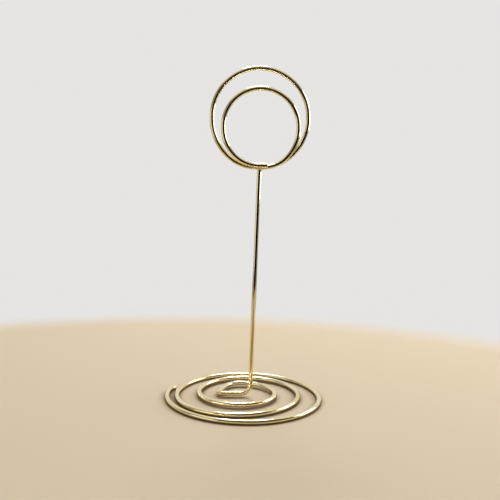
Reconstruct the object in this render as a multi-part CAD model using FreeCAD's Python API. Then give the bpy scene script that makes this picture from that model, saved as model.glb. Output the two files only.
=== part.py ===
import FreeCAD, Part
import math
import os

# Table number holder: round steel wire bent cold into a spiral foot, an upright stem and a
# card clip of two round loops. The four stretches meet end face to end face.
# Frame: the origin is on the table under the middle of the spiral foot, +X is to the right of
# someone who reads the card, -Y points towards that person and +Z is up. Sizes are millimetres.

# The wire
wire_diameter = 2.0
end_rounding = 0.3  # the two cut ends are tumbled smooth

# The spiral foot, wound anticlockwise seen from above, from its outer tip to its middle
tip_radius = 14.0
tip_turn = 32.0
turn_radii = (37.6, 30.4, 34.7, 28.8, 28.7, 25.7, 24.4, 20.0, 19.6, 14.3, 15.7)  # one per quarter turn
coil_lift = 0.9  # the inner turns climb this much, so that the foot stands on its outer turn
flat_quarters = 3  # quarter turns of the outer turn that lie flat on the table

# The end of the spiral: an inward curve, a hairpin and a crossbar that carries the stem
inward_radius = 6.7
inward_turn = 68.0
inward_run = 8.4
hairpin_radius = 2.4
foot_bend_radius = 4.2

# The stem, straight and a little off upright
stem_foot_x = 3.7
stem_lean = 2.3  # degrees towards +X
loop_height = 101.6  # table to the underside of the card clip

# The card clip: a rear loop and a smaller front loop, a card's thickness apart
neck_bend_radius = 2.2
neck_angle = 4.5  # degrees round from the rear loop's bottom to the bend from the stem
rear_loop_radius = 20.75
front_loop_radii = (16.4, 16.1, 16.1, 15.8)  # from its bottom to its right side, top, left side, bottom
loop_side_run = 0.8  # both loops are taller than wide by this much
card_gap = 0.3
seam_run = 1.5  # straight wire on each side of the seam between the loops, which twists as the clip opens
tail_run = 3.2  # the wire's end, past the bottom of the front loop

X = FreeCAD.Vector(1, 0, 0)
Y = FreeCAD.Vector(0, 1, 0)
Z = FreeCAD.Vector(0, 0, 1)


def turned(vector, axis, degrees):
    """The vector turned about the axis by the right-hand rule."""
    return FreeCAD.Rotation(axis, degrees).multVec(vector)


def smooth_step(share):
    """Rises from 0 to 1 with no slope at either end."""
    return share * share * (3 - 2 * share)


def smooth_slope(share):
    """The slope of smooth_step."""
    return 6 * share * (1 - share)


class BentWire:
    """The centreline of a round wire, bent step by step from a start point and heading."""

    def __init__(self, point, heading):
        self.point = FreeCAD.Vector(point)
        self.heading = FreeCAD.Vector(heading).normalize()
        self.start_point = FreeCAD.Vector(self.point)
        self.start_heading = FreeCAD.Vector(self.heading)
        self.edges = []

    def run(self, length):
        """A straight run along the heading."""
        end = self.point + self.heading * length
        self.edges.append(Part.LineSegment(self.point, end).toShape())
        self.point = end

    def bend(self, radius, degrees, axis):
        """A bend about the axis by the right-hand rule, at a given centreline radius."""
        centre = self.point + axis.cross(self.heading) * radius
        middle = centre + turned(self.point - centre, axis, degrees / 2)
        end = centre + turned(self.point - centre, axis, degrees)
        self.edges.append(Part.Arc(self.point, middle, end).toShape())
        self.point = end
        self.heading = turned(self.heading, axis, degrees)

    def corner_arc(self, corner, end):
        """The arc from the present point to end whose two tangents meet at corner."""
        chord_middle = (self.point + end) * 0.5
        half_chord = end.distanceToPoint(self.point) / 2
        half_turn = math.acos(half_chord / corner.distanceToPoint(end))
        sagitta = half_chord * math.tan(half_turn / 2)
        middle = chord_middle + (corner - chord_middle).normalize() * sagitta
        self.edges.append(Part.Arc(self.point, middle, end).toShape())
        self.point = end

    def curve_to(self, end, heading):
        """Two arcs that meet smoothly and reach end along heading, both with equal tangents."""
        chord = end - self.point
        headings = self.heading + heading
        spread = 2 * (1 - self.heading.dot(heading))
        reach = math.sqrt(chord.dot(headings) ** 2 + spread * chord.dot(chord))
        tangent = (reach - chord.dot(headings)) / spread
        first_corner = self.point + self.heading * tangent
        last_corner = end - heading * tangent
        self.corner_arc(first_corner, (first_corner + last_corner) * 0.5)
        self.corner_arc(last_corner, end)
        self.heading = heading

    def quarter_turn(self, ahead, aside, axis, level, slope):
        """A quarter turn about the axis that ends at a level along it, climbing at a slope."""
        flat_heading = (self.heading - axis * self.heading.dot(axis)).normalize()
        side = axis.cross(flat_heading)
        climb = level - self.point.dot(axis)
        end = self.point + flat_heading * ahead + side * aside + axis * climb
        self.curve_to(end, (side + axis * slope).normalize())

    def solid(self, rounded_start=False, rounded_end=False):
        """The wire itself: its round section carried along the centreline."""
        section = Part.makeCircle(wire_diameter / 2, self.start_point, self.start_heading)
        shape = Part.Wire(self.edges).makePipeShell([Part.Wire(section)], True, True)
        cut_ends = []
        if rounded_start:
            cut_ends.append(self.start_point)
        if rounded_end:
            cut_ends.append(self.point)
        rims = [
            edge
            for edge in shape.Edges
            for cut_end in cut_ends
            if len(edge.Vertexes) == 1 and edge.CenterOfMass.distanceToPoint(cut_end) < end_rounding
        ]
        if rims:
            shape = shape.makeFillet(end_rounding, rims)
        return shape


def base_coil():
    """The spiral foot with its hairpin, its crossbar and the bend up into the stem."""
    wire_radius = wire_diameter / 2
    left_x = -(turn_radii[0] + turn_radii[1]) / 2
    left_y = turn_radii[0] - (turn_radii[1] + turn_radii[2]) / 2
    left = FreeCAD.Vector(left_x, left_y, wire_radius)
    tip_centre = left + X * tip_radius
    tip = tip_centre + turned(left - tip_centre, Z, -tip_turn)
    wire = BentWire(tip, turned(-Y, Z, -tip_turn))
    wire.bend(tip_radius, tip_turn, Z)
    climbing_quarters = len(turn_radii) - flat_quarters
    for number, radius in enumerate(turn_radii, start=1):
        share = max(0, number - flat_quarters) / climbing_quarters
        level = wire_radius + coil_lift * smooth_step(share)
        climb_per_quarter = coil_lift * smooth_slope(share) / climbing_quarters
        wire.quarter_turn(radius, radius, Z, level, climb_per_quarter / (radius * math.pi / 2))
    wire.bend(inward_radius, inward_turn, Z)
    wire.run(inward_run)
    wire.bend(hairpin_radius, 180 - inward_turn, Z)
    bend_reach = foot_bend_radius * math.cos(math.radians(stem_lean))
    wire.run(stem_foot_x - bend_reach - wire.point.x)
    wire.bend(foot_bend_radius, 90 - stem_lean, -Y)
    return wire


def stem(foot):
    """The straight upright, up to the bend into the rear loop."""
    lean = math.radians(stem_lean)
    neck = math.radians(neck_angle)
    loop_bottom = loop_height + wire_diameter / 2
    neck_rise = rear_loop_radius * (1 - math.cos(neck))
    bend_rise = neck_bend_radius * (math.cos(neck) - math.sin(lean))
    wire = BentWire(foot.point, foot.heading)
    wire.run((loop_bottom + neck_rise - bend_rise - foot.point.z) / math.cos(lean))
    return wire


def climbing_quarter(wire, ahead, aside, start_level, shares):
    """A quarter of a clip loop, which steps forward by its share of the pitch between loops."""
    pitch = wire_diameter + card_gap
    start, end = shares
    quarter_length = (ahead + aside) * math.pi / 4
    slope = pitch * smooth_slope(end) * (end - start) / quarter_length
    wire.quarter_turn(ahead, aside, -Y, start_level + pitch * smooth_step(end), slope)


def rear_ring(neck):
    """The neck bend and the larger loop, which stands behind the card."""
    radius = rear_loop_radius
    start_level = neck.point.dot(-Y)
    wire = BentWire(neck.point, neck.heading)
    wire.bend(neck_bend_radius, 90 - stem_lean - neck_angle, Y)
    wire.bend(radius, 90 - neck_angle, -Y)
    wire.run(loop_side_run)
    climbing_quarter(wire, radius, radius, start_level, (0, 1 / 3))
    climbing_quarter(wire, radius, radius, start_level, (1 / 3, 2 / 3))
    wire.run(loop_side_run)
    climbing_quarter(wire, radius, radius - seam_run, start_level, (2 / 3, 1))
    wire.run(seam_run)
    return wire


def front_ring(seam):
    """The smaller loop, which stands in front of the card, and the wire's end."""
    right, top, left, bottom = front_loop_radii
    start_level = seam.point.dot(-Y)
    wire = BentWire(seam.point, seam.heading)
    wire.run(seam_run)
    climbing_quarter(wire, right - seam_run, right, start_level, (0, 1 / 4))
    wire.run(loop_side_run)
    climbing_quarter(wire, top, top, start_level, (1 / 4, 1 / 2))
    climbing_quarter(wire, left, left, start_level, (1 / 2, 3 / 4))
    wire.run(loop_side_run)
    climbing_quarter(wire, bottom, bottom, start_level, (3 / 4, 1))
    wire.run(tail_run)
    return wire


foot_wire = base_coil()
stem_wire = stem(foot_wire)
rear_wire = rear_ring(stem_wire)
front_wire = front_ring(rear_wire)

parts = {
    "base_coil": foot_wire.solid(rounded_start=True),
    "stem": stem_wire.solid(),
    "rear_ring": rear_wire.solid(),
    "front_ring": front_wire.solid(rounded_end=True),
}

os.makedirs("parts", exist_ok=True)
for name, shape in parts.items():
    shape.exportStep("parts/" + name + ".step")
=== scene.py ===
import math

import bpy
import numpy as np
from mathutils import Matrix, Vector


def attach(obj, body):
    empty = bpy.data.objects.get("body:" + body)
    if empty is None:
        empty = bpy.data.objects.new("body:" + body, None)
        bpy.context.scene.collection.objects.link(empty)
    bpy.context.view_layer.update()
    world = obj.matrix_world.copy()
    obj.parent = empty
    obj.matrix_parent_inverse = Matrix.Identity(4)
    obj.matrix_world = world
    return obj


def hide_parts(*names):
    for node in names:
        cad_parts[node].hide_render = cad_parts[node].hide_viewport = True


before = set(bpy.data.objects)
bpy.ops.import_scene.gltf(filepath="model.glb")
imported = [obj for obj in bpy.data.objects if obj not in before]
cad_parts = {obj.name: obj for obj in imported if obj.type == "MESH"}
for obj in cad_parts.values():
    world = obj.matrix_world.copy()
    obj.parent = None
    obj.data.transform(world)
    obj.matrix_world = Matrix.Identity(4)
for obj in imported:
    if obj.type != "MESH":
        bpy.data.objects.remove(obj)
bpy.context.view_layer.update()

# The spiral foot. It is the first half metre of one round steel wire, drawn through a die and wound
# cold into a flat spiral from the outside in. A hairpin at its middle turns the wire back into a
# short crossbar, and a tight bend sends it straight up. The whole wire is plated pale gold.

MM = 0.001
X = np.array((1.0, 0.0, 0.0))
Y = np.array((0.0, 1.0, 0.0))
Z = np.array((0.0, 0.0, 1.0))

wire_radius = 1.0
end_rounding = 0.3  # the cut ends are tumbled smooth
longest_step = 0.55  # between two stations on the centreline
largest_step_turn = math.radians(4)
sides_of_section = 56
rings_in_rounding = 7


def unit(vectors):
    """Vectors over their own lengths."""
    return vectors / np.linalg.norm(vectors, axis=-1, keepdims=True)


def turned(vector, axis, angles):
    """The vector turned about the axis: its part along the axis stays, and the rest goes round as
    itself times the cosine plus the axis crossed with it times the sine."""
    kept = axis * (vector @ axis)
    angles = np.asarray(angles)[..., None]
    return kept + (vector - kept) * np.cos(angles) + np.cross(axis, vector) * np.sin(angles)


def smooth_step(share):
    """Rises from 0 to 1 with no slope at either end: three squares less two cubes."""
    share = np.clip(share, 0, 1)
    return share * share * (3 - 2 * share)


def smooth_slope(share):
    """The slope of smooth_step."""
    return 6 * share * (1 - share)


class BentWire:
    """The centreline of the wire in millimetres, bent step by step. Each step adds arrays of
    points, headings and pulls. A pull points to the bend's centre and is one over its radius."""

    def __init__(self, point, heading, drawn=0.0):
        self.point = np.array(point, float)
        self.heading = unit(np.array(heading, float))
        self.drawn = drawn  # length of wire that came before this one
        self.points = [self.point[None]]
        self.headings = [self.heading[None]]
        self.pulls = []

    def add(self, points, headings, pulls):
        if not self.pulls:
            self.pulls.append(pulls[:1])
        self.points.append(points)
        self.headings.append(headings)
        self.pulls.append(pulls)
        self.point = points[-1]
        self.heading = headings[-1]

    def run(self, length):
        """A straight run: the point plus the heading times equal shares of the length."""
        count = max(1, math.ceil(length / longest_step))
        shares = np.arange(1, count + 1)[:, None] * length / count
        points = self.point + self.heading * shares
        self.add(points, np.repeat(self.heading[None], count, 0), np.zeros((count, 3)))

    def bend(self, radius, degrees, axis):
        """An arc: the arm from the bend's centre to the point is turned about the axis."""
        angle = math.radians(degrees)
        count = math.ceil(max(angle / largest_step_turn, angle * radius / longest_step))
        angles = np.arange(1, count + 1) * angle / count
        arm = np.cross(self.heading, axis) * radius
        arms = turned(arm, axis, angles)
        self.add(self.point - arm + arms, turned(self.heading, axis, angles), -arms / radius**2)

    def arc_to(self, end):
        """The one arc that leaves along the heading and reaches the end."""
        chord = end - self.point
        half_turn = math.acos(self.heading @ unit(chord))
        radius = np.linalg.norm(chord) / 2 / math.sin(half_turn)
        self.bend(radius, math.degrees(2 * half_turn), unit(np.cross(self.heading, chord)))

    def curve_to(self, end, heading):
        """Two arcs that meet smoothly and reach the end along the heading, with equal tangents."""
        chord = end - self.point
        headings = self.heading + heading
        spread = 2 * (1 - self.heading @ heading)
        reach = math.sqrt((chord @ headings) ** 2 + spread * (chord @ chord))
        tangent = (reach - chord @ headings) / spread
        self.arc_to((self.point + self.heading * tangent + end - heading * tangent) / 2)
        self.arc_to(end)

    def quarter_turn(self, ahead, aside, axis, level, slope):
        """A quarter turn about the axis that ends at a level along it, climbing at a slope."""
        flat_heading = unit(self.heading - axis * (self.heading @ axis))
        side = np.cross(axis, flat_heading)
        climb = level - self.point @ axis
        end = self.point + flat_heading * ahead + side * aside + axis * climb
        self.curve_to(end, unit(side + axis * slope))

    def along(self):
        """How far along the wire each of its points is: the steps between them added up."""
        steps = np.linalg.norm(np.diff(np.concatenate(self.points), axis=0), axis=1)
        return np.concatenate(([0.0], np.cumsum(steps)))

    def carried_on(self):
        """The next stretch of the same wire, which starts where this one ends."""
        return BentWire(self.point, self.heading, self.drawn + self.along()[-1])


bend_spread = 2.0  # a bend's strain runs out over this much of the wire on each side
strain_step = 0.1  # between the points at which strain is worked out
gentle_tightness = 0.09  # wire radius over bend radius, up to which the section stays round
bend_flattening = 0.2  # loss of section over the tightness beyond that
most_flattening = 0.045
side_bulge = 0.25  # the share of the flattening that the sides gain


def wire_mesh(
    name,
    wire,
    sideways,
    rubbed,
    rounded_start=False,
    rounded_end=False,
    pull_before=None,
    pull_after=None,
):
    """The wire's section carried along its centreline. A surface point is the centre, plus the side
    direction times the cosine and the up direction times the sine of its place round the section,
    both times the section's radius there. In a bend the section flattens inside and outside and
    bulges a little at its sides. At a rounded end it shrinks along a quarter circle. The pulls
    before and after this stretch are its neighbours', so that strain runs on across the joins."""
    points = np.concatenate(wire.points)
    headings = np.concatenate(wire.headings)
    pulls = np.concatenate(wire.pulls)
    along = wire.along()
    length = along[-1]

    # Strain from a bend spreads along the wire: pulls averaged under a raised cosine.
    even = np.arange(0, length, strain_step)
    bell = np.hanning(round(2 * bend_spread / strain_step) + 1)
    bell /= bell.sum()
    margin = len(bell) // 2
    before = pulls[0] if pull_before is None else pull_before
    after = pulls[-1] if pull_after is None else pull_after
    spread_pulls = []
    for pull, first, last in zip(pulls.T, before, after):
        padded = np.pad(np.interp(even, along, pull), margin, constant_values=(first, last))
        spread_pulls.append(np.interp(along, even, np.convolve(padded, bell, "valid")))
    spread_pulls = np.stack(spread_pulls, 1)

    # Stations: the centreline's own, and a quarter circle's worth at each rounded end.
    turn = np.sin(np.linspace(0, math.pi / 2, rings_in_rounding))
    rounding = end_rounding * (1 - np.sqrt(1 - turn**2))
    clear_of_end = end_rounding * 1.3
    stations = along
    if rounded_start:
        stations = np.concatenate((rounding, stations[stations > clear_of_end]))
    if rounded_end:
        stations = np.concatenate(
            (stations[stations < length - clear_of_end], length - rounding[::-1])
        )
    centres = np.stack([np.interp(stations, along, part) for part in points.T], 1)
    headings = unit(np.stack([np.interp(stations, along, part) for part in headings.T], 1))
    pulls = np.stack([np.interp(stations, along, part) for part in spread_pulls.T], 1)

    inset = np.zeros(len(stations))
    for rounded, from_end in ((rounded_start, stations), (rounded_end, length - stations)):
        if rounded:
            short = np.clip(end_rounding - from_end, 0, end_rounding)
            inset += end_rounding - np.sqrt(end_rounding**2 - short**2)

    sides = unit(sideways(headings))
    ups = np.cross(headings, sides)
    around = np.arange(sides_of_section) * 2 * math.pi / sides_of_section
    cosines = np.cos(around)[None, :, None]
    sines = np.sin(around)[None, :, None]
    directions = sides[:, None] * cosines + ups[:, None] * sines
    tightness = np.linalg.norm(pulls, axis=1) * wire_radius
    to_centre = np.einsum("ijk,ik->ij", directions, pulls) * wire_radius
    to_centre /= np.maximum(tightness, 1e-9)[:, None]
    flattening = np.clip((tightness - gentle_tightness) * bend_flattening, 0, most_flattening)
    squeeze = (1 + side_bulge) * to_centre**2 - side_bulge
    radii = wire_radius * (1 - flattening[:, None] * squeeze) - inset[:, None]
    surface = centres[:, None] + directions * radii[..., None]

    rings = len(stations)
    count = rings * sides_of_section
    vertices = np.concatenate((surface.reshape(-1, 3), centres[:1], centres[-1:]))
    grid = np.arange(count).reshape(rings, sides_of_section)
    beside = np.roll(grid, -1, 1)
    quads = np.stack((grid[:-1], beside[:-1], beside[1:], grid[1:]), -1).reshape(-1, 4)
    start_fan = np.stack((np.full(sides_of_section, count), beside[0], grid[0]), -1)
    end_fan = np.stack((np.full(sides_of_section, count + 1), grid[-1], beside[-1]), -1)
    mesh = bpy.data.meshes.new(name)
    mesh.from_pydata(
        (vertices * MM).tolist(), [], quads.tolist() + start_fan.tolist() + end_fan.tolist()
    )
    smooth = np.ones(len(mesh.polygons), bool)
    smooth[len(quads):] = False
    mesh.polygons.foreach_set("use_smooth", smooth)

    # Both rims are sharp, or the flat ends would bend the shine beside them.
    edges = np.empty(len(mesh.edges) * 2, np.int32)
    mesh.edges.foreach_get("vertices", edges)
    rims = np.isin(edges.reshape(-1, 2) // sides_of_section, (0, rings - 1)).all(1)
    mesh.attributes.new("sharp_edge", "BOOLEAN", "EDGE").data.foreach_set("value", rims)

    # Where each point was while the wire was still straight: along it, then across its section.
    straight = np.zeros((rings, sides_of_section, 3))
    straight[..., 0] = (wire.drawn + stations)[:, None]
    straight[..., 1] = np.cos(around) * wire_radius
    straight[..., 2] = np.sin(around) * wire_radius
    poles = np.array(((wire.drawn, 0, 0), (wire.drawn + length, 0, 0)))
    straight = np.concatenate((straight.reshape(-1, 3), poles))
    mesh.attributes.new("on_straight_wire", "FLOAT_VECTOR", "POINT").data.foreach_set(
        "vector", straight.astype(np.float32).ravel()
    )
    strain = np.concatenate((np.repeat(tightness, sides_of_section), tightness[[0, -1]]))
    mesh.attributes.new("strain", "FLOAT", "POINT").data.foreach_set(
        "value", strain.astype(np.float32)
    )
    worn = rubbed(surface, directions).ravel()
    mesh.attributes.new("rubbed", "FLOAT", "POINT").data.foreach_set(
        "value", np.concatenate((worn, (0, 0))).astype(np.float32)
    )
    mesh.validate()
    piece = bpy.data.objects.new(name, mesh)
    bpy.context.scene.collection.objects.link(piece)
    return piece


class Value:
    """A shader node's output. Arithmetic on it adds Math nodes."""

    def __init__(self, finish, output):
        self.finish = finish
        self.output = output

    def math(self, operation, first, second):
        return self.finish.node("Math", {"operation": operation}, {0: first, 1: second})

    def __add__(self, other):
        return self.math("ADD", self, other)

    def __radd__(self, other):
        return self.math("ADD", other, self)

    def __sub__(self, other):
        return self.math("SUBTRACT", self, other)

    def __rsub__(self, other):
        return self.math("SUBTRACT", other, self)

    def __mul__(self, other):
        return self.math("MULTIPLY", self, other)

    def __rmul__(self, other):
        return self.math("MULTIPLY", other, self)


class Finish:
    """A material, built node by node around its Principled shader."""

    def __init__(self, name):
        self.material = bpy.data.materials.new(name)
        self.material.use_nodes = True
        self.tree = self.material.node_tree
        self.shader = self.tree.nodes["Principled BSDF"]
        self.surface = self.tree.nodes["Material Output"].inputs["Surface"]

    def put(self, socket, value):
        """Links a node's output to the socket, or sets the socket's own value."""
        if isinstance(value, Value):
            self.tree.links.new(value.output, socket)
        else:
            socket.default_value = value

    def node(self, kind, settings, sockets, output=0):
        """Adds a shader node: its settings are set first, then its sockets' values or links."""
        added = self.tree.nodes.new("ShaderNode" + kind)
        for name, setting in settings.items():
            setattr(added, name, setting)
        for name, value in sockets.items():
            self.put(added.inputs[name], value)
        return Value(self, added.outputs[output])

    def mix(self, share, first, second):
        """A colour between two colours."""
        return self.node(
            "Mix", {"data_type": "RGBA"}, {"Factor": share, 6: first, 7: second}, output=2
        )

    def between(self, value, low, high):
        """Rises smoothly from 0 to 1 as the value goes from low to high."""
        return self.node(
            "MapRange",
            {"interpolation_type": "SMOOTHSTEP"},
            {"Value": value, "From Min": low, "From Max": high},
        )

    def noise(self, place, scales, detail=2.0):
        """Noise from 0 to 1 with its own scale on each axis."""
        stretched = self.node(
            "VectorMath", {"operation": "MULTIPLY"}, {0: place, 1: scales}
        )
        return self.node("TexNoise", {}, {"Vector": stretched, "Scale": 1.0, "Detail": detail})


pale_gold = (0.92, 0.825, 0.55, 1)
deep_gold = (0.86, 0.735, 0.40, 1)
bare_steel = (0.62, 0.60, 0.57, 1)
strained_gold = (0.74, 0.60, 0.33, 1)
draw_line_scale = (0.12, 7.0, 7.0)  # per millimetre, along the wire and twice across it
thickness_scale = (0.045, 0.35, 0.35)
ripple_scale = (0.16, 0.5, 0.5)
speck_scale = (2.6, 2.6, 2.6)


def gold_wire():
    """Bright gold plating on drawn wire: fine draw lines along the wire, slow drifts of colour
    where the plating is thicker, a duller skin in the tight bends, and steel where it rubs."""
    gold = Finish("gold_wire")
    on_wire = gold.node("Attribute", {"attribute_name": "on_straight_wire"}, {}, output=1)
    strain = gold.node("Attribute", {"attribute_name": "strain"}, {}, output=2)
    rubbed = gold.node("Attribute", {"attribute_name": "rubbed"}, {}, output=2)
    draw_lines = gold.noise(on_wire, draw_line_scale, detail=3.0)
    thickness = gold.noise(on_wire, thickness_scale)
    ripples = gold.noise(on_wire, ripple_scale, detail=1.0)
    specks = gold.noise(on_wire, speck_scale, detail=3.0)
    tight = gold.between(strain, 0.12, 0.45)
    scuffs = rubbed * gold.between(specks, 0.40, 0.75)
    colour = gold.mix(gold.between(thickness, 0.35, 0.7), pale_gold, deep_gold)
    colour = gold.mix(tight * 0.6, colour, strained_gold)
    colour = gold.mix(scuffs * 0.5, colour, bare_steel)
    gold.put(gold.shader.inputs["Base Color"], colour)
    gold.put(gold.shader.inputs["Metallic"], 1.0)
    roughness = 0.07 + draw_lines * 0.06 + tight * 0.06 + scuffs * 0.07
    gold.put(gold.shader.inputs["Roughness"], roughness)
    height = draw_lines * 0.0002 + ripples * 0.004 + specks * tight * 0.002
    bump = gold.node("Bump", {}, {"Height": height, "Distance": MM, "Strength": 1.0})
    gold.put(gold.shader.inputs["Normal"], bump)
    return gold.material


gold_plating = gold_wire()


def dress(piece, node, body):
    """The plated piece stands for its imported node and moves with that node's body."""
    piece.data.materials.append(gold_plating)
    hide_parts(node)
    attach(piece, body)


tip_radius = 14.0
tip_turn = 32.0
turn_radii = (37.6, 30.4, 34.7, 28.8, 28.7, 25.7, 24.4, 20.0, 19.6, 14.3, 15.7)  # per quarter
coil_lift = 0.9  # the inner turns climb this much, so that the foot stands on its outer turn
flat_quarters = 3
inward_radius = 6.7
inward_turn = 68.0
inward_run = 8.4
hairpin_radius = 2.4
foot_bend_radius = 4.2
stem_foot_x = 3.7
stem_lean = 2.3  # degrees towards +X
standing_depth = 0.12  # this much of the wire's underside rubs on the table

coil_left = np.array(
    (
        -(turn_radii[0] + turn_radii[1]) / 2,
        turn_radii[0] - (turn_radii[1] + turn_radii[2]) / 2,
        wire_radius,
    )
)
tip_centre = coil_left + X * tip_radius
tip_back = math.radians(-tip_turn)
foot_wire = BentWire(tip_centre + turned(-X * tip_radius, Z, tip_back), turned(-Y, Z, tip_back))
foot_wire.bend(tip_radius, tip_turn, Z)
climbing_quarters = len(turn_radii) - flat_quarters
for number, radius in enumerate(turn_radii, start=1):
    share = max(0, number - flat_quarters) / climbing_quarters
    climb = coil_lift * smooth_slope(share) / climbing_quarters
    level = wire_radius + coil_lift * smooth_step(share)
    foot_wire.quarter_turn(radius, radius, Z, level, climb / (radius * math.pi / 2))
foot_wire.bend(inward_radius, inward_turn, Z)
foot_wire.run(inward_run)
foot_wire.bend(hairpin_radius, 180 - inward_turn, Z)
bend_reach = foot_bend_radius * math.cos(math.radians(stem_lean))
foot_wire.run(stem_foot_x - bend_reach - foot_wire.point[0])
foot_wire.bend(foot_bend_radius, 90 - stem_lean, -Y)

straight_pull = np.zeros(3)  # the stem's, past both of its bends

coil_piece = wire_mesh(
    "spiral_foot",
    foot_wire,
    sideways=lambda headings: np.cross(Z, headings),
    rubbed=lambda surface, directions: smooth_step(1 - surface[..., 2] / standing_depth),
    rounded_start=True,
    pull_after=straight_pull,
)
dress(coil_piece, "base_coil", "stand")

# The stem. It is the next hundred millimetres of the same wire, left straight as it was drawn and
# leaning a little to the reader's right. Its only wear is from fingers, which dull it evenly.

loop_height = 101.6
neck_bend_radius = 2.2
neck_angle = 4.5  # degrees round from the rear loop's bottom to the bend from the stem
rear_loop_radius = 20.75

lean = math.radians(stem_lean)
neck = math.radians(neck_angle)
neck_rise = rear_loop_radius * (1 - math.cos(neck))
bend_rise = neck_bend_radius * (math.cos(neck) - math.sin(lean))
stem_top = loop_height + wire_radius + neck_rise - bend_rise
stem_wire = foot_wire.carried_on()
stem_wire.run((stem_top - foot_wire.point[2]) / math.cos(lean))


def backwards(headings):
    """The direction square to each heading that is nearest to Y: Y less its part along it."""
    return Y - headings * (headings @ Y)[:, None]


stem_piece = wire_mesh(
    "stem_wire",
    stem_wire,
    sideways=backwards,
    rubbed=lambda surface, directions: np.zeros(surface.shape[:2]),
    pull_before=foot_wire.pulls[-1][-1],
    pull_after=np.cross(Y, stem_wire.heading) / neck_bend_radius,
)
dress(stem_piece, "stem", "stand")

# The rear loop of the card clip. The wire leaves the stem by a tight neck bend and goes once round
# behind the card. Cards sliding in scuff the side of it that faces them.

loop_side_run = 0.8  # both loops are taller than wide by this much
card_gap = 0.3
seam_run = 1.5  # straight wire on each side of the seam between the loops
scuff_edge = 0.8  # the cosine of the angle from the card at which its scuffs fade out
pitch = 2 * wire_radius + card_gap


def scuffed_by_cards(facing):
    """The strip of the section within about 35 degrees of the direction in which the card lies."""
    reach = 1 - scuff_edge
    return lambda surface, directions: smooth_step((directions @ facing - scuff_edge) / reach)


def climbing_quarter(wire, ahead, aside, start_level, start, end):
    """A quarter of a clip loop, which steps forward by its share of the pitch between the loops."""
    slope = pitch * smooth_slope(end) * (end - start) / ((ahead + aside) * math.pi / 4)
    wire.quarter_turn(ahead, aside, -Y, start_level + pitch * smooth_step(end), slope)


rear_wire = stem_wire.carried_on()
rear_level = -rear_wire.point[1]
rear_wire.bend(neck_bend_radius, 90 - stem_lean - neck_angle, Y)
rear_wire.bend(rear_loop_radius, 90 - neck_angle, -Y)
rear_wire.run(loop_side_run)
climbing_quarter(rear_wire, rear_loop_radius, rear_loop_radius, rear_level, 0, 1 / 3)
climbing_quarter(rear_wire, rear_loop_radius, rear_loop_radius, rear_level, 1 / 3, 2 / 3)
rear_wire.run(loop_side_run)
climbing_quarter(rear_wire, rear_loop_radius, rear_loop_radius - seam_run, rear_level, 2 / 3, 1)
rear_wire.run(seam_run)

rear_piece = wire_mesh(
    "rear_loop",
    rear_wire,
    sideways=backwards,
    rubbed=scuffed_by_cards(-Y),
    pull_before=straight_pull,
)
dress(rear_piece, "rear_ring", "stand")

# The front loop of the card clip, the wire's last turn. It is smaller than the rear one, a card's
# thickness in front of it and sprung against it, and its cut end lies along its own bottom.

front_loop_radii = (16.4, 16.1, 16.1, 15.8)  # to its right side, top, left side and bottom
tail_run = 3.2  # the wire's end, past the bottom of the loop

right, top, left, bottom = front_loop_radii
front_wire = rear_wire.carried_on()
front_level = -front_wire.point[1]
front_wire.run(seam_run)
climbing_quarter(front_wire, right - seam_run, right, front_level, 0, 1 / 4)
front_wire.run(loop_side_run)
climbing_quarter(front_wire, top, top, front_level, 1 / 4, 1 / 2)
climbing_quarter(front_wire, left, left, front_level, 1 / 2, 3 / 4)
front_wire.run(loop_side_run)
climbing_quarter(front_wire, bottom, bottom, front_level, 3 / 4, 1)
front_wire.run(tail_run)

front_piece = wire_mesh(
    "front_loop",
    front_wire,
    sideways=backwards,
    rubbed=scuffed_by_cards(Y),
    rounded_end=True,
)
dress(front_piece, "front_ring", "clip")

# The studio. One sheet of matt paper, a pale warm floor that sweeps up all round into a pale grey
# wall. A brown painted contact shadow darkens the floor's colour close against the wire.

floor_radius = 0.55
sweep_radius = 0.30
wall_height = 1.1
points_round = 96
points_out = 12
points_up_sweep = 25
floor_colour = (0.63, 0.525, 0.38, 1)
floor_middle = (-0.05, -0.13, 0.0)  # of the warm floor, which reaches further in front than behind
floor_edge = (0.28, 0.34)  # over this much of the way out, the floor's colour turns to the wall's
painted_contact_shadow = (0.20, 0.125, 0.055, 1)  # painted contact shadow: the floor's colour close against and under the wire
painted_shadow_reach = 0.003
wall_colour = (0.79, 0.78, 0.765, 1)
wall_beside_in_metal = 0.38  # painted reflection: the wall beside and before the holder shows darker in the metal
back_wall = (0.10, 0.50)  # from beside the holder to behind it


def studio_bowl():
    """A profile carried round the upright axis: flat out to the floor's radius, a quarter circle
    up, then straight up. Each point is the profile's distance out times the cosine and the sine."""
    flat_out = np.linspace(0.01, floor_radius, points_out)
    sweep = np.linspace(0, math.pi / 2, points_up_sweep)[1:]
    wall_out = floor_radius + sweep_radius
    out = np.concatenate((flat_out, floor_radius + sweep_radius * np.sin(sweep), [wall_out]))
    up = np.concatenate((0 * flat_out, sweep_radius * (1 - np.cos(sweep)), [wall_height]))
    out, up = out[:, None], up[:, None]
    around = np.linspace(0, 2 * math.pi, points_round, endpoint=False)
    surface = np.stack((out * np.cos(around), out * np.sin(around), up + 0 * around), -1)
    vertices = np.concatenate((surface.reshape(-1, 3), ((0, 0, 0),)))
    count = surface.shape[0] * surface.shape[1]
    grid = np.arange(count).reshape(surface.shape[:2])
    beside = np.roll(grid, -1, 1)
    quads = np.stack((grid[:-1], grid[1:], beside[1:], beside[:-1]), -1).reshape(-1, 4)
    middle = np.stack((np.full(points_round, count), grid[0], beside[0]), -1)
    mesh = bpy.data.meshes.new("studio_bowl")
    mesh.from_pydata(vertices.tolist(), [], quads.tolist() + middle.tolist())
    mesh.polygons.foreach_set("use_smooth", np.ones(len(mesh.polygons), bool))
    bowl = bpy.data.objects.new("studio_bowl", mesh)
    bpy.context.scene.collection.objects.link(bowl)
    return bowl


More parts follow.
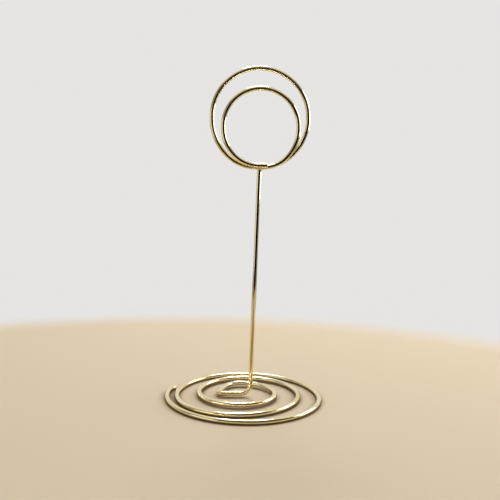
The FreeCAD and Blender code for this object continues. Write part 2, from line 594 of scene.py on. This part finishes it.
def studio_paper():
    """Matt paper, warm on the floor and grey on the wall, with a painted contact shadow on the
    floor close against the wire. The wall shows its own colour to the camera and to metal, however
    little light reaches it, and metal sees it darker at the sides: a painted reflection."""
    paper = Finish("studio_paper")
    place = paper.node("TexCoord", {}, {}, output="Object")
    from_middle = paper.node("VectorMath", {"operation": "SUBTRACT"}, {0: place, 1: floor_middle})
    distance = paper.node("VectorMath", {"operation": "LENGTH"}, {0: from_middle}, output="Value")
    rise = paper.between(distance, *floor_edge)
    # Painted contact shadow: where ambient occlusion finds the wire close by, the floor's colour
    # turns brown.
    openness = paper.node(
        "AmbientOcclusion", {"samples": 8}, {"Distance": painted_shadow_reach}, output="AO"
    )
    floor = paper.mix(paper.between(openness, 0.45, 1.0), painted_contact_shadow, floor_colour)
    colour = paper.mix(rise, floor, wall_colour)
    paper.put(paper.shader.inputs["Base Color"], colour)
    paper.put(paper.shader.inputs["Roughness"], 0.9)
    paper.put(paper.shader.inputs["Specular IOR Level"], 0.1)
    seen_directly = paper.node("LightPath", {}, {}, output="Is Camera Ray")
    seen_in_metal = paper.node("LightPath", {}, {}, output="Is Glossy Ray")
    depth = paper.node("SeparateXYZ", {}, {0: place}, output="Y")
    # Painted reflection: metal sees the wall darker beside and before the holder than it is.
    beside = (1 - paper.between(depth, *back_wall)) * (1 - wall_beside_in_metal)
    shown_colour = paper.mix(seen_in_metal * beside, colour, (0, 0, 0, 1))
    glow = paper.node("Emission", {}, {"Color": shown_colour, "Strength": 1.0})
    lit = Value(paper, paper.shader.outputs["BSDF"])
    glowing = (seen_directly + seen_in_metal) * rise
    paper.put(paper.surface, paper.node("MixShader", {}, {0: glowing, 1: lit, 2: glow}))
    return paper.material


bowl = studio_bowl()
bowl.data.materials.append(studio_paper())

# Painted reflections: glowing cards that only the metal sees, though they are no lamps. A dark one
# stands in front of the clip, to the reader's right, black below and brown above, and paints the
# dark reflected line down the bright wire. A brown one lies on the floor in front of the foot and
# paints a tan reflection over the glare of the pale floor in the foot of the stem.


def card(name, surface, colour):
    """A sheet with a row of points per row of the surface, which glows evenly in its own colour."""
    grid = np.arange(surface[..., 0].size).reshape(surface.shape[:2])
    quads = np.stack((grid[:-1, :-1], grid[:-1, 1:], grid[1:, 1:], grid[1:, :-1]), -1)
    mesh = bpy.data.meshes.new(name)
    mesh.from_pydata(surface.reshape(-1, 3).tolist(), [], quads.reshape(-1, 4).tolist())
    sheet = bpy.data.objects.new(name, mesh)
    bpy.context.scene.collection.objects.link(sheet)
    paint = Finish(name)
    paint.put(paint.surface, paint.node("Emission", {}, {"Color": colour, "Strength": 1.0}))
    sheet.data.materials.append(paint.material)
    # Seen only in the metal: a painted reflection, neither lit nor casting a shadow.
    sheet.visible_camera = False
    sheet.visible_diffuse = False
    sheet.visible_shadow = False
    sheet.visible_transmission = False


dark_distance = 0.105
dark_turns = (-42, 62)  # degrees to the right of straight ahead
shift_right = 22  # more degrees to the right, for the part that the loops see
shift_heights = (0.095, 0.125)
dark_bottom = 0.031  # above the table, so that the foot of the stem stays gold
brown_bottom = 0.135  # from here up the card is brown
dark_top = 0.175
dark_top_right = 0.110  # lower on the right, where the window shows over it
window_turn = 34  # where it starts to get lower
window_fall = 16  # degrees over which it gets there
dark_columns = 40
dark_rows = 12


def dark_reflection_card(name, lowest, highest, colour):
    """Part of an upright curved sheet. A point is the distance times the sine and the cosine of its
    turn, and the turn grows to the right by smooth_step of the height."""
    turns = np.linspace(*dark_turns, dark_columns)
    falls = smooth_step((turns - window_turn) / window_fall)
    tops = dark_top + (dark_top_right - dark_top) * falls
    heights = np.linspace(lowest, highest, dark_rows)[:, None]
    heights = np.minimum(heights, np.maximum(tops, lowest))
    shares = (heights - shift_heights[0]) / (shift_heights[1] - shift_heights[0])
    angles = np.radians(turns + shift_right * smooth_step(shares))
    x, y = dark_distance * np.sin(angles), -dark_distance * np.cos(angles)
    card(name, np.stack((x, y, heights), -1), colour)


dark_reflection_card("black_reflection_card", dark_bottom, brown_bottom, (0.006, 0.004, 0.002, 1))
dark_reflection_card("dim_brown_reflection_card", brown_bottom, dark_top, (0.03, 0.022, 0.010, 1))

brown_width = (-0.09, 0.12)
brown_depth = (-0.45, -0.037)
brown_height = 0.0004  # just off the floor
brown_x, brown_y = np.meshgrid(brown_width, brown_depth)
brown_surface = np.stack((brown_x, brown_y, np.full(brown_x.shape, brown_height)), -1)
card("brown_reflection_card", brown_surface, (0.34, 0.27, 0.14, 1))

# Soft lamps, out of the camera's sight, and the even light of a white room. The back one draws the
# white glints on top of the wire, and the window one those on the right of the loops.


def softbox(name, place, aim, size, watts):
    """A square lamp at a place, turned to face its aim."""
    lamp = bpy.data.lights.new(name, "AREA")
    lamp.shape = "SQUARE"
    lamp.size = size
    lamp.energy = watts
    holder = bpy.data.objects.new(name, lamp)
    bpy.context.scene.collection.objects.link(holder)
    holder.location = place
    away = Vector(place) - Vector(aim)
    holder.rotation_euler = away.to_track_quat("Z", "Y").to_euler()
    holder.visible_camera = False
    return holder


middle = (0.0, 0.0, 0.07)
softbox("back_softbox", (-0.01, 0.46, 0.72), middle, 0.27, 3.8)
ceiling = softbox("ceiling_softbox", (0.0, -0.15, 1.0), middle, 1.0, 1.5)
ceiling.visible_glossy = False
softbox("window_softbox", (0.60, 0.14, 0.28), middle, 0.46, 2.5)
softbox("left_softbox", (-0.50, -0.29, 0.12), middle, 0.40, 0.35)

# Painted reflection: the room shows much brighter in the metal than the light it gives.
ceiling_in_metal = 1.0
ceiling_light = 0.18

room = bpy.data.worlds.new("white_room")
bpy.context.scene.world = room
room.use_nodes = True
background = room.node_tree.nodes["Background"]
background.inputs["Color"].default_value = wall_colour
light_path = room.node_tree.nodes.new("ShaderNodeLightPath")
strength = room.node_tree.nodes.new("ShaderNodeMapRange")
strength.inputs["To Min"].default_value = ceiling_light
strength.inputs["To Max"].default_value = ceiling_in_metal
room.node_tree.links.new(light_path.outputs["Is Glossy Ray"], strength.inputs["Value"])
room.node_tree.links.new(strength.outputs["Result"], background.inputs["Strength"])

# The camera, a little above the middle of the stem and looking slightly down on it.

camera_place = (0.003544, -0.26332, 0.089135)
camera_tilt = math.radians(85.112)

camera = bpy.data.objects.new("camera", bpy.data.cameras.new("camera"))
bpy.context.scene.collection.objects.link(camera)
camera.location = camera_place
camera.rotation_euler = (camera_tilt, 0, 0)
camera.data.sensor_width = 36
camera.data.lens = 43.25
camera.data.clip_start = 0.01
bpy.context.scene.camera = camera
bpy.context.scene.view_settings.view_transform = "Standard"
